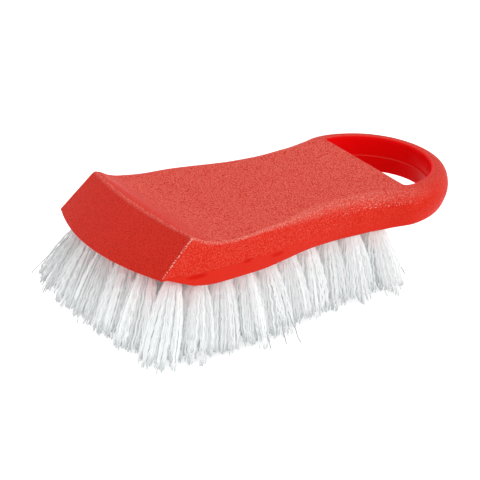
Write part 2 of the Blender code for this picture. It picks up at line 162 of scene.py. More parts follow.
print("a closed ring of 8 by 28 points has", len(grid_faces(8, 28)), "faces")

# %% [markdown]
# Each finish is a small tree of nodes. One helper adds a node with its settings and inputs, and
# hands back one of its outputs. Others turn a colour picked as sRGB hex into the linear numbers
# that Blender works in, and make a material of what a shader function returns. Such a function
# gets add, the first helper with the tree filled in.

# %% Helpers for materials
MULTIPLY, MULTIPLY_ADD, MAXIMUM, SUBTRACT = (
    {"operation": name} for name in ("MULTIPLY", "MULTIPLY_ADD", "MAXIMUM", "SUBTRACT"))
COLOURS = {"data_type": "RGBA"}


def add_node(tree, kind, settings=None, output=0, **inputs):
    """Add a node, set its properties, set or link its inputs by name or by number, and return one
    of its outputs, if it has any."""
    node = tree.nodes.new("ShaderNode" + kind)
    for key, value in (settings or {}).items():
        setattr(node, key, value)
    for key, value in inputs.items():
        socket = node.inputs[int(key[1:])] if key[0] == "_" else node.inputs[key.replace("_", " ")]
        if isinstance(value, bpy.types.NodeSocket):
            tree.links.new(value, socket)
        else:
            socket.default_value = value
    return node.outputs[output] if node.outputs else None


def linear(hex_colour):
    """Linear red, green, blue and alpha of an sRGB hex colour: a part is divided by 12.92 if it is
    very dark, and otherwise raised to the power of 2.4 after an offset."""
    parts = np.array([int(hex_colour[k:k + 2], 16) / 255 for k in (1, 3, 5)])
    values = np.where(parts <= 0.04045, parts / 12.92, ((parts + 0.055) / 1.055) ** 2.4)
    return (*values, 1.0)


def fresh_tree(owner):
    """Empty the tree of a material or a world, and return the adder for it."""
    owner.use_nodes = True
    owner.node_tree.nodes.clear()
    return partial(add_node, owner.node_tree)


def new_material(name, shader):
    """A material from a function that adds its nodes and returns the last output."""
    finish = bpy.data.materials.new(name)
    add = fresh_tree(finish)
    add("OutputMaterial", Surface=shader(add))
    print("made", name)
    return finish


print("half grey is", round(float(linear("#808080")[0]), 3), "in linear numbers")

# %% [markdown]
# The block is injection moulded polypropylene, a slightly waxy plastic. The mould's upper half was
# spark eroded, which leaves a fine pebbled grain on the front face, the top and the upper sides.
# Real grain is about a quarter of a millimetre wide. That is too fine to show here, so it is drawn
# twice as coarse. A bump alone would leave out the points of light on its peaks, so painted shade
# in the hollows, painted highlights on the peaks, bare spots, a painted pale highlight and painted
# glints on the crests, and painted glints below the shoulder are layers over one red. A layer is a
# pattern's rise over a range, times a value on the skin that says how strongly it shows.

# %% Red moulded polypropylene
GRAIN_WIDTH_MM = 0.50
FINE_GRAIN_WIDTH_MM = 0.30
SPARKLE_WIDTH_MM = 0.50
FLOW_WIDTH_MM = 18.0
GRAIN_DEPTH_MM = 0.20
PEAK_START, PEAK_START_DROP = 0.66, 0.30
# Shares of the painted glints and of the painted pale highlight on the crests, and of the bare
# spots
EDGE_GLINT_SHARE, PALE_EDGE_SHARE, BARE_SPOT_SHARE = 0.30, 0.10, 0.85
FINE_ROUGHNESS, FINE_DEPTH_SHARE = 0.10, 0.35


def moulded_red_shader(add):
    """Pebbles are one less the distance in a pattern of cells. A layer's share is its pattern's
    rise from start to end, up to most, times the strength that the skin's value gives."""
    place = add("TexCoord", output="Object")
    value = {name: add("Attribute", {"attribute_name": name}, "Fac")
             for name in ("grain", "sheen", "pits", "edge", "crease", "glints", "smear")}
    fine, sparkle, flow = [
        add("TexNoise", Vector=place, Scale=1 / (width * MM), Detail=detail, Roughness=0.55)
        for width, detail in ((FINE_GRAIN_WIDTH_MM, 1), (SPARKLE_WIDTH_MM, 0), (FLOW_WIDTH_MM, 2))]
    cells = add("TexVoronoi", Vector=place, Scale=1 / (GRAIN_WIDTH_MM * MM))
    pebbles = add("Math", SUBTRACT, _0=1.0, _1=cells)
    lowest_peak = add("Math", MULTIPLY_ADD, _0=value["sheen"], _1=-PEAK_START_DROP,
                      _2=PEAK_START)
    edge_glints = add("Math", MULTIPLY_ADD, _0=value["edge"], _1=EDGE_GLINT_SHARE, _2=value["crease"])
    shares = []
    # The layers: painted shade in hollows, painted highlights on peaks, and two sets of painted
    # glints
    for pattern, start, end, most, strength in (
            (pebbles, 0.50, 0.22, 0.38, value["pits"]),
            (pebbles, lowest_peak, 0.86, 0.54, value["sheen"]),
            (sparkle, 0.46, 0.66, 1.0, edge_glints),
            (sparkle, 0.60, 0.70, 0.50, value["glints"])):
        rise = add("MapRange", Value=pattern, From_Min=start, From_Max=end, To_Max=most)
        shares.append(add("Math", MULTIPLY, _0=rise, _1=strength))
    hollow_shade, peaks, glint_dots, sparks = shares
    glint_dots = add("Math", MAXIMUM, _0=glint_dots, _1=sparks)
    pale = add("Math", MULTIPLY, _0=value["edge"], _1=PALE_EDGE_SHARE)
    bare = add("Math", MULTIPLY, _0=value["smear"], _1=BARE_SPOT_SHARE)
    # Over the red: random flow tone, painted shade, painted highlights, bare spots and painted
    # glints
    tint = linear("#D0291A")
    for share, colour in ((flow, "#D82D1E"), (hollow_shade, "#A4140A"), (peaks, "#FF9884"),
                          (bare, "#CA0C04"), (pale, "#FFB29E"), (glint_dots, "#FFDCCF")):
        tint = add("Mix", COLOURS, 2, _0=share, _6=tint, _7=linear(colour))
    rough = add("MapRange", Value=value["grain"], To_Min=0.36, To_Max=0.42)
    rough = add("Math", MULTIPLY_ADD, _0=fine, _1=FINE_ROUGHNESS, _2=rough)
    depth = add("Math", MULTIPLY_ADD, _0=fine, _1=FINE_DEPTH_SHARE, _2=pebbles)
    bump_amount = add("MapRange", Value=value["grain"], To_Min=0.02, To_Max=0.8)
    bump = add("Bump", Strength=bump_amount, Distance=GRAIN_DEPTH_MM * MM, Height=depth)
    return add("BsdfPrincipled", Base_Color=tint, Roughness=rough, Normal=bump, IOR=1.49,
               Specular_IOR_Level=0.045)


moulded_red = new_material("moulded_red_polypropylene", moulded_red_shader)

# %% [markdown]
# The slot's wall and the underside come from polished steel, so they are smooth and glossy. The
# red there only sees other red, which makes it look deeper. One red would do, but faint flow
# marks, where the melt flowed round the slot's core, break the polish as they do on a real one.

# %% Polished red polypropylene
FLOW_MARK_WIDTH_MM = 9.0
FLOW_MARK_DEPTH_MM = 0.2
FLOW_MARK_SQUEEZE = 3
SEAM_HIGHLIGHT_SHARE = 0.45


def polished_red_shader(add):
    """Noise in cells that are squeezed in height tints the red and sets its roughness and bump. A
    painted pale highlight lies where the skin's edge value says.
    """
    place = add("TexCoord", output="Object")
    squeezed = add("Mapping", Vector=place, Scale=(1, 1, FLOW_MARK_SQUEEZE))
    marks = add("TexNoise", Vector=squeezed, Scale=1 / (FLOW_MARK_WIDTH_MM * MM), Detail=3)
    # A painted pale highlight along the slot's seam and the loop's rim, where the skin's edge value
    # is
    seam = add("Attribute", {"attribute_name": "edge"}, "Fac")
    seam = add("Math", MULTIPLY, _0=seam, _1=SEAM_HIGHLIGHT_SHARE)
    tint = linear("#DA0608")
    for share, colour in ((marks, "#E60809"), (seam, "#F4695C")):
        tint = add("Mix", COLOURS, 2, _0=share, _6=tint, _7=linear(colour))
    rough = add("MapRange", Value=marks, To_Min=0.20, To_Max=0.34)
    bump = add("Bump", Strength=0.15, Distance=FLOW_MARK_DEPTH_MM * MM, Height=marks)
    return add("BsdfPrincipled", Base_Color=tint, Roughness=rough, Normal=bump, IOR=1.49,
               Specular_IOR_Level=0.02)


polished_red = new_material("polished_red_polypropylene", polished_red_shader)

# %% [markdown]
# The block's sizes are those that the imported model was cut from, so the fine surface lies on the
# coarse one. Only the slot's corners are tighter here, as on the real brush. The walls lean in by
# a draft, as a moulding's do to leave the mould.

# %% The block's sizes
NECK_END = 0.1203
HEAD_WIDTH = 0.0830
SLOT_REACH, SLOT_HALF, SLOT_CORNER = 0.0245, 0.0285, 0.0012
LOOP_END_WALL, LOOP_SIDE_WALL = 0.0065, 0.0088
NOSE_CORNER_SETBACK, NOSE_CORNER_ROUND = 0.0074, 0.0012
RIDGE_SETBACK, RIDGE_BULGE = 0.0139, 0.0029
NOSE_PLACE = np.array([block_low.x, 0, 0])
UNDERSIDE_HEIGHT = block_low.z
BLOCK_DEPTH = block_high.z - block_low.z
SIDE_DRAFT = 0.18
NECK_LOWER_LEAN, LOOP_LOWER_LEAN = 0.32, 0.45
NOSE_LIP = 0.0007
RIDGE_ROUND, HEAD_ROUND, NECK_ROUND = 0.0010, 0.0016, 0.0048
HEAD_LOWER_ROUND, NECK_LOWER_ROUND, LOOP_LOWER_ROUND = 0.0009, 0.0020, 0.0038
NOSE_LOWER_ROUND = HEAD_LOWER_ROUND / 3
LOOP_HALF = SLOT_HALF + LOOP_SIDE_WALL
LOOP_END = SLOT_REACH + LOOP_END_WALL
print("block is", round(1000 * (NECK_END + LOOP_END), 1), "mm long")

# %% [markdown]
# The block's long curves are short tables: shares along the neck against shares of a height or
# width. A smooth curve is drawn through each table, so a few numbers give a soft line, and a
# point of it can be moved without the rest. x is counted from the nose here.

# %% The block's long curves
SIDE_TABLE = ((0.062, 0.971), (0.115, 0.988), (0.184, 1), (0.26, 0.991), (0.343, 0.966),
              (0.443, 0.925), (0.526, 0.88), (0.59, 0.838), (0.663, 0.796), (0.762, 0.772),
              (0.847, 0.786), (0.925, 0.838), (1, LOOP_HALF / (HEAD_WIDTH / 2)))
TOP_TABLE = ((0, 1), (0.18, 1), (0.225, 0.88), (0.27, 0.806), (0.36, 0.765),
             (0.443, 0.785), (0.543, 0.795), (0.667, 0.828), (0.76, 0.85), (0.85, 0.872),
             (1, 0.872))
PARTING_TABLE = ((0, 0.328), (0.54, 0.328), (0.65, 0.36), (0.8, 0.43), (1, 0.49))
UNDERSIDE_TABLE = ((0, 0.328), (0.062, 0.328), (0.1, 0.25), (0.14, 0.15), (0.185, 0.055),
                   (0.26, 0), (0.43, 0), (0.52, 0.035), (0.6, 0.062), (0.78, 0.068),
                   (0.9, 0.095), (1, 0.14))
ROUND_TABLE = ((0, 0), (0.4, 0), (0.52, 0.25), (0.66, 0.9), (0.75, 1), (1, 1))
LEAN_TABLE = ((0, 0), (0.78, 0), (1, 1))
LOOP_TOP_SHARE, LOOP_PARTING_SHARE, LOOP_UNDERSIDE_SHARE = 0.88, 0.53, 0.18


def smooth_curve(table, at):
    """Cubic curve through a table's points whose slope at each is the harmonic mean of its
    neighbours' slopes, or nought at a peak, so that it never overshoots."""
    places, values = np.array(table).T
    runs = np.diff(places)
    slopes = np.diff(values) / runs
    before, after = slopes[:-1], slopes[1:]
    same_way = before * after > 0
    total = np.where(same_way, before + after, 1)
    tangents = np.zeros(len(places))
    tangents[1:-1] = np.where(same_way, 2 * before * after / total, 0)
    at = np.clip(at, places[0], places[-1])
    i = np.clip(np.searchsorted(places, at, side="right") - 1, 0, len(runs) - 1)
    t = (at - places[i]) / runs[i]
    rise = values[i + 1] - values[i]
    bend_in, bend_out = tangents[i] * runs[i], tangents[i + 1] * runs[i]
    return (values[i] + bend_in * t + (3 * rise - 2 * bend_in - bend_out) * t ** 2
            + (bend_in + bend_out - 2 * rise) * t ** 3)


def between(low, high, share):
    """The value that lies a share of the way from low to high."""
    return low + (high - low) * share


def height_on(table, loop_share, x):
    """Height of a long curve at x from the nose. Past the slot's flat wall it eases to the
    loop's own height in step with the distance along the loop."""
    at_neck = smooth_curve(table, x / NECK_END)
    ease = np.clip((x - NECK_END) / LOOP_END, 0, 1)
    return UNDERSIDE_HEIGHT + BLOCK_DEPTH * between(at_neck, loop_share, ease)


def half_width(x):
    """Half the block's width at x from the nose: the table's share of half the head's width."""
    return HEAD_WIDTH / 2 * smooth_curve(SIDE_TABLE, x / NECK_END)


def grow(table, x, low, high):
    """A size that grows from low to high along the neck, as its table says."""
    return between(low, high, smooth_curve(table, x / NECK_END))


top_height = partial(height_on, TOP_TABLE, LOOP_TOP_SHARE)
parting_height = partial(height_on, PARTING_TABLE, LOOP_PARTING_SHARE)
underside_height = partial(height_on, UNDERSIDE_TABLE, LOOP_UNDERSIDE_SHARE)
print("waist is", round(2000 * float(half_width(0.77 * NECK_END)), 1), "mm wide")

# %% [markdown]
# The block has a hole through its loop, so its skin is one ring-shaped surface: it closes on
# itself both round the outline and from top to bottom. A boolean cut would leave ragged faces, so
# it is made as upright columns of points side by side. Each starts at the slot's rim, crosses the
# top, turns over the edge, goes down the wall to the parting line and the lower edge, comes back
# under the block, and climbs the slot's wall. A soft corner is a curve drawn towards a sharp one.

# %% Columns of the block's wall
WALL_STEPS, SEAM_STEPS, LOWER_STEPS, ROUND_STEPS = 12, 6, 9, 7
SEAM_RIDGE = 0.00010
HEAD_SEAM_ROUND, LOOP_SEAM_ROUND = 0.00025, 0.0034
SEAM_ROOM_SHARE = 0.9
SEAM_TABLE = ((0.0, 0.0), (0.40, 0.0), (0.62, 0.7), (0.80, 1.0), (1.0, 1.0))


def mix(a, b, t):
    """Points between the arrays a and b, for each share in t: the shares get an axis of their own
    after the columns."""
    t = np.asarray(t)[None, :, None]
    return a[:, None, :] * (1 - t) + b[:, None, :] * t


def soft_corner(before, corner, after, steps):
    """Points of a curve from before to after, drawn towards corner: a second-degree curve."""
    t = np.linspace(0, 1, steps + 1)[None, :, None]
    before, corner, after = before[:, None, :], corner[:, None, :], after[:, None, :]
    return before * (1 - t) ** 2 + corner * 2 * t * (1 - t) + after * t ** 2


def unit(vectors):
    """Vectors of length one: each is divided by its own length."""
    return vectors / np.linalg.norm(vectors, axis=-1, keepdims=True)


def wall_columns(parting, inward, top_corner, top_round, low_z, low_round, low_lean, soft):
    """Columns from the top face's edge down the wall to the underside's edge. Along the parting
    line, where the two halves of the mould met, runs a fine raised seam. Its corner is crisp where
    soft is 0, and wide and smooth where soft is 1."""
    up_wall = unit(top_corner - parting)
    down_wall = inward * low_lean[:, None]
    down_wall[:, 2] = -1
    low_corner = parting + down_wall * (parting[:, 2] - low_z)[:, None]
    down_wall = unit(down_wall)
    top = soft_corner(top_corner + inward * top_round[:, None], top_corner,
                      top_corner - up_wall * top_round[:, None], ROUND_STEPS)
    low = soft_corner(low_corner - down_wall * low_round[:, None], low_corner,
                      low_corner + inward * low_round[:, None], ROUND_STEPS)
    room = np.minimum(np.linalg.norm(top[:, -1] - parting, axis=1),
                      np.linalg.norm(low[:, 0] - parting, axis=1))
    reach = np.minimum(between(HEAD_SEAM_ROUND, LOOP_SEAM_ROUND, soft), room * SEAM_ROOM_SHARE)
    seam = soft_corner(parting + up_wall * reach[:, None], parting,
                       parting + down_wall * reach[:, None], SEAM_STEPS)
    seam[:, SEAM_STEPS // 2] -= inward * (SEAM_RIDGE * (1 - soft))[:, None]
    upper = mix(top[:, -1], seam[:, 0], np.linspace(0, 1, WALL_STEPS + 1)[1:-1])
    lower = mix(seam[:, -1], low[:, 0], np.linspace(0, 1, LOWER_STEPS + 1)[1:-1])
    return np.concatenate([top, upper, seam, lower, low], axis=1)


print("shares of the seam's softness:", smooth_curve(SEAM_TABLE, np.array([0.5, 0.7])).round(2))

# %% [markdown]
# The outline runs from the middle of the nose round one side to the end of the loop, and the
# other side is its mirror image. The nose edge is a shallow bow, and so is the ridge above it.

# %% Nose and side columns
NOSE_COLUMNS, SIDE_COLUMNS = 56, 150


def nose_columns():
    """Front face: the nose edge and the ridge are bows, each a parabola across the block."""
    share = np.linspace(0, 1, NOSE_COLUMNS)
    ends = float(half_width(NOSE_CORNER_SETBACK)) - NOSE_CORNER_ROUND
    bow = 1 - share ** 2
    parting = joined(NOSE_CORNER_SETBACK * (1 - bow), share * ends, parting_height(0.0))
    rise = UNDERSIDE_HEIGHT + BLOCK_DEPTH - parting[:, 2]
    run = NOSE_CORNER_SETBACK + RIDGE_SETBACK - RIDGE_BULGE * bow - parting[:, 0]
    narrowing = SIDE_DRAFT * rise * share
    top_corner = parting + joined(run, -narrowing, rise)
    inward = joined(1.0, -narrowing / run, 0.0)
    flat = np.ones_like(share)
    return wall_columns(parting, inward, top_corner, flat * RIDGE_ROUND, parting[:, 2] - NOSE_LIP,
                        flat * NOSE_LOWER_ROUND, flat * SIDE_DRAFT, flat * 0)


def side_columns():
    """Side walls: the foot of each column follows the parting line, and its head is further
    back at the nose, because the front face slants."""
    start = NOSE_CORNER_SETBACK + NOSE_CORNER_ROUND
    share = np.linspace(0, 1, SIDE_COLUMNS)
    x_low = between(start, NECK_END, share)
    x_top = between(start + RIDGE_SETBACK, NECK_END, share)
    parting = joined(x_low, half_width(x_low), parting_height(x_low))
    top_z = top_height(x_top)
    lean_in = SIDE_DRAFT * (top_z - parting_height(x_top))
    top_corner = joined(x_top, half_width(x_top) - lean_in, top_z)
    inward = np.tile([0.0, -1.0, 0.0], (len(share), 1))
    low_z = np.minimum(underside_height(x_low), parting[:, 2] - NOSE_LIP)
    low_round = np.minimum(grow(ROUND_TABLE, x_low, HEAD_LOWER_ROUND, NECK_LOWER_ROUND),
                           (parting[:, 2] - low_z) / 2)
    return wall_columns(parting, inward, top_corner,
                        grow(ROUND_TABLE, x_top, HEAD_ROUND, NECK_ROUND), low_z, low_round,
                        grow(LEAN_TABLE, x_low, SIDE_DRAFT, NECK_LOWER_LEAN),
                        grow(SEAM_TABLE, x_low, 0.0, 1.0))


nose = nose_columns()
side = side_columns()
print("columns on the nose and the side:", len(nose), len(side))

# %% [markdown]
# The loop's wall is a quarter of an ellipse in plan. The corner between the nose and the side is
# a soft corner again, drawn for every height at once.

# %% Loop and corner columns
CORNER_COLUMNS, LOOP_COLUMNS = 9, 84
LOOP_RIM_ROUND = 0.0015
LOOP_TOP_FLAT = 0.0003


def loop_columns():
    """The loop: sine and cosine of an angle times its two half axes, with a rounder section
    towards its end."""
    angle = np.linspace(0, math.pi / 2, LOOP_COLUMNS + 1)[1:]
    ease = np.sin(angle)
    x = NECK_END + LOOP_END * ease
    outer = joined(x, LOOP_HALF * np.cos(angle), parting_height(x))
    inward = unit(joined(-np.sin(angle) / LOOP_END, -np.cos(angle) / LOOP_HALF, 0.0))
    rise = top_height(x) - outer[:, 2]
    top_corner = outer + inward * (SIDE_DRAFT * rise)[:, None]
    top_corner[:, 2] += rise
    wall = between(LOOP_SIDE_WALL, LOOP_END_WALL, ease)
    room = wall - SIDE_DRAFT * rise - LOOP_RIM_ROUND - LOOP_TOP_FLAT
    low_round = between(NECK_LOWER_ROUND, LOOP_LOWER_ROUND, ease)
    low_lean = between(NECK_LOWER_LEAN, LOOP_LOWER_LEAN, ease)
    return wall_columns(outer, inward, top_corner, np.minimum(NECK_ROUND, room),
                        underside_height(x), low_round, low_lean, np.ones_like(x))


def corner_columns(nose_end, side_start):
    """The soft corner between the nose's last column and the side's first one. Its sharp point
    has the nose's x and the side's y."""
    sharp = joined(nose_end[:, 0], side_start[:, 1], (nose_end[:, 2] + side_start[:, 2]) / 2)
    turned = soft_corner(nose_end, sharp, side_start, CORNER_COLUMNS + 1)
    return turned[:, 1:-1].transpose(1, 0, 2)


walls = np.concatenate([nose, corner_columns(nose[-1], side[0]), side, loop_columns()])
COLUMN_SIDE = len(nose) + CORNER_COLUMNS
COLUMN_LOOP = len(walls) - LOOP_COLUMNS
print("wall columns and their points:", walls.shape[:2])

# %% [markdown]
# The slot is D-shaped: a flat wall, two small corners and half an ellipse. The columns share out
# its rim: the nose and the sides take the flat wall, and the loop takes the half ellipse.

# %% The slot's rim in plan
FLAT_POINTS, CORNER_POINTS, CURVE_POINTS = 60, 13, 200
NOSE_SHARE_OF_WALL = 0.45
SIDE_SHARE_AT_CORNER = 0.93
FIRST_SIDE_STEP = 0.0001


def slot_rim():
    """Places on the slot's outline in plan, one for each column, and the directions from them
    into the plastic. The outline is a path of many points, and the columns share out its length."""
    flat = joined(0.0, np.linspace(0, SLOT_HALF - SLOT_CORNER, FLAT_POINTS))
    turn_angle = np.linspace(0, math.pi / 2, CORNER_POINTS)[1:-1]
    turned = joined(SLOT_CORNER * (1 - np.cos(turn_angle)),
                    SLOT_HALF - SLOT_CORNER * (1 - np.sin(turn_angle)))
    start = math.asin(SLOT_CORNER / SLOT_REACH)
    angle = np.linspace(start, math.pi / 2, CURVE_POINTS)
    curve = joined(SLOT_REACH * np.sin(angle), SLOT_HALF * np.cos(angle))
    path = np.concatenate([flat, turned, curve])
    length = np.concatenate([[0], np.cumsum(np.linalg.norm(np.diff(path, axis=0), axis=1))])
    corner_from, corner_to = length[len(flat) - 1], length[len(flat) + len(turned)]
    at_nose = np.linspace(0, corner_from * NOSE_SHARE_OF_WALL, COLUMN_SIDE, endpoint=False)
    at_side = np.interp(np.linspace(0, 1, SIDE_COLUMNS), [0, SIDE_SHARE_AT_CORNER, 1],
                        [at_nose[-1] + FIRST_SIDE_STEP, corner_from, corner_to])
    loop_angle = np.linspace(start, math.pi / 2, LOOP_COLUMNS + 1)[1:]
    at_loop = np.interp(loop_angle, angle, length[-len(angle):])
    at = np.concatenate([at_nose, at_side, at_loop])
    rim = joined(np.interp(at, length, path[:, 0]) + NECK_END, np.interp(at, length, path[:, 1]))
    tangent = np.gradient(path, length, axis=0)
    outward = unit(joined(np.interp(at, length, -tangent[:, 1]),
                          np.interp(at, length, tangent[:, 0])))
    outward[0] = (-1, 0)
    outward[-1] = (1, 0)
    return rim, outward


rim, rim_outward = slot_rim()
print("slot is", round(1000 * float(rim[-1, 0] - rim[0, 0]), 1), "mm deep")

# %% [markdown]
# The top and the underside are lines of points from the edges of the wall to the slot's rim.
# Straight lines would leave the block at the waist, which is narrower than the slot, so they are
# straight in shares of the local width instead.

# %% The faces above and below
TOP_STEPS, UNDER_STEPS = 40, 20
SETTLE_SHARE = 0.125
TOP_CROWDING_POWER = 1.5
FLAT_RIM_ROUND, UNDER_RIM_ROUND = 0.00030, 0.00030
RIM_EASE_SHARE = 0.15
SLOT_LEDGE = 0.00045


def face_lines(edge, rim_point, height_of, shares):
    """Lines over a face from the wall's edge to the slot's rim. On the body a line is straight in
    x and in shares of the half width; on the loop it is straight in plan. height_of gives z."""
    side_edge = edge[COLUMN_SIDE:COLUMN_LOOP]
    t = shares[None, :]
    x = edge[:, :1] * (1 - t) + rim_point[:, :1] * t
    width_here = np.interp(x, side_edge[:, 0], side_edge[:, 1])
    edge_share = edge[:, 1:2] / np.interp(edge[:, :1], side_edge[:, 0], side_edge[:, 1])
    rim_share = rim_point[:, 1:2] / side_edge[-1, 1]
    y = (edge_share * (1 - t) + rim_share * t) * width_here
    on_loop = slice(COLUMN_LOOP, None)
    y[on_loop] = edge[on_loop, 1:2] * (1 - t) + rim_point[on_loop, 1:2] * t
    x_for_height = x.copy()
    x_for_height[on_loop] = edge[on_loop, :1]
    z = height_of(x_for_height)
    settle = (edge[:, 2] - z[:, 0])[:, None] * np.clip(1 - t / SETTLE_SHARE, 0, 1)
    return joined(x, y, z + settle)


round_share = np.clip((rim[:, 0] - NECK_END) / (RIM_EASE_SHARE * SLOT_REACH), 0, 1)[:, None]
rim_round = between(FLAT_RIM_ROUND, LOOP_RIM_ROUND, round_share)
ledge = SLOT_LEDGE * round_share
face_shares = np.linspace(0, 1, TOP_STEPS + 1)[1:] ** TOP_CROWDING_POWER
top_lines = face_lines(walls[:, 0], rim + rim_outward * rim_round, top_height, face_shares)
under_shares = np.linspace(0, 1, UNDER_STEPS + 1)[1:]
under_lines = face_lines(walls[:, -1], rim + rim_outward * (UNDER_RIM_ROUND - ledge),
                         underside_height, under_shares)
print("points of a line on the top and below:", top_lines.shape[1], under_lines.shape[1])

# %% [markdown]
# The two halves of the mould met inside the slot too. Both halves of its wall lean out from a seam
# half way up, so that the mould could open. The lower one stands in by a narrow ledge, along which
# a fine pale line is painted as a painted highlight.

# %% The slot's wall
SLOT_WALL_STEPS, RIM_STEPS = 12, 5
SLOT_DRAFT_REACH = 0.00030
SLOT_SEAM_HALF_SHARE = 0.011


def slot_wall():
    """The slot's rounded rims and its wall, from the underside's rim up to the top's. The wall
    stands in from the rim most at the seam, and less in step with the distance from it."""
    upper_z, lower_z = top_lines[:, -1, 2], under_lines[:, -1, 2]

    def at(z, out):
        """The rim, moved out into the plastic and set at heights z."""
        return np.concatenate([rim + rim_outward * out, z[:, None]], axis=1)

    low = soft_corner(at(lower_z, UNDER_RIM_ROUND - ledge), at(lower_z, -ledge),
                      at(lower_z + UNDER_RIM_ROUND, -ledge), RIM_STEPS)
    high = soft_corner(at(upper_z - rim_round[:, 0], 0), at(upper_z, 0), at(upper_z, rim_round),
                       RIM_STEPS)
    share = np.linspace(0, 1, SLOT_WALL_STEPS + 1)[1:-1]
    seam_sides = [0.5 - SLOT_SEAM_HALF_SHARE, 0.5 + SLOT_SEAM_HALF_SHARE]
    share = np.sort(np.append(share, seam_sides))
    wall = mix(low[:, -1], high[:, 0], share)
    wall[..., :2] = rim[:, None, :]
    stands_in = SLOT_DRAFT_REACH * (1 - np.abs(2 * share - 1)) + ledge * (share <= 0.5)
    wall[..., :2] -= rim_outward[:, None, :] * stands_in[..., None]
    return np.concatenate([low[:, 1:], wall, high[:, :-1]], axis=1)


half_skin = np.concatenate([top_lines[:, ::-1], walls, under_lines, slot_wall()], axis=1)
print("skin of one half:", half_skin.shape[:2])

# %% [markdown]
# Where each finish lies is known from the grid itself: a row of the grid is the same feature all
# the way round, and a column is one place along the outline. Unlike paint, a formula on rows and
# columns keeps a finish on its feature when a size changes.

# %% Where the finishes lie
ROW_SHOULDER = TOP_STEPS + ROUND_STEPS
ROW_TURN = TOP_STEPS + ROUND_STEPS // 2
ROW_SEAM = ROW_SHOULDER + WALL_STEPS + SEAM_STEPS // 2
ROW_UNDER = ROW_SEAM + SEAM_STEPS // 2 + LOWER_STEPS + ROUND_STEPS
ROW_SLOT_SEAM = ROW_UNDER + UNDER_STEPS + RIM_STEPS + SLOT_WALL_STEPS // 2 + 1
COLUMN_CORNER = len(nose) + CORNER_COLUMNS // 2
LOOP_EASE_COLUMNS = 18
# Painted sheen and painted pit shade: on the top, the loop's top and the nose, and along the side
# from a place to the neck's end
SHEEN = (1.0, 0.50, 0.16, 0.0850, (0.50, 0.16))
PIT_SHADE = (1.0, 0.65, 1.2, 0.0300, (0.38, 0.88))
# Middle, reach and plateau of what fades away on both sides
RIDGE = (NOSE_CORNER_SETBACK + RIDGE_SETBACK, 0.0095, 1)
CREST = (TOP_STEPS + ROUND_STEPS / 2, ROUND_STEPS / 2.4, 1.2)
CREASE = (COLUMN_CORNER, CORNER_COLUMNS / 4.8, 1.2)
SHOULDER = (ROW_SHOULDER + WALL_STEPS / 3, WALL_STEPS / 2, 1.3)
GLINTS = (0.1070, 0.0220, 1)
RIDGE_SMOOTHING, CREASE_GLINT_STRENGTH = 0.75, 0.70
# Strengths of the painted pale highlight: on the nose, on the loop, less where rounder, slot's rim
NOSE_EDGE, LOOP_EDGE, SOFTER_EDGE, SLOT_RIM_EDGE = 0.35, 0.20, 0.35, 0.4
# Bare spots: place from the nose, height below the parting line, half length and half height
SMEARS = ((0.0222, 0.0012, 0.0040, 0.0009), (0.0442, 0.0004, 0.0020, 0.0006),
          (0.0588, 0.0016, 0.0030, 0.0008))
SMEAR_PLATEAU = 1.6
print("row of the parting line:", ROW_SEAM, "and first row of the underside:", ROW_UNDER)

# %% [markdown]
# Seven values go to the material. Grain is the depth of the pebbling. Sheen is how strong the
# painted highlights on its peaks are, and pit shade how dark the painted shade in the hollows is.
# Edge marks where a pale highlight is painted: the crests, the slot's rim and its seam. Crease
# marks the sharp corner beside the nose and glints the place below the shoulder, where points of
# light are painted. Smear marks the bare glossy spots that the moulding left along the parting
# line.

# %% The values on the block's skin


def fade(value, middle, reach, plateau):
    """The plateau less the distance from the middle in reaches, held between nought and one."""
    return np.clip(plateau - np.abs(value - middle) / reach, 0, 1)


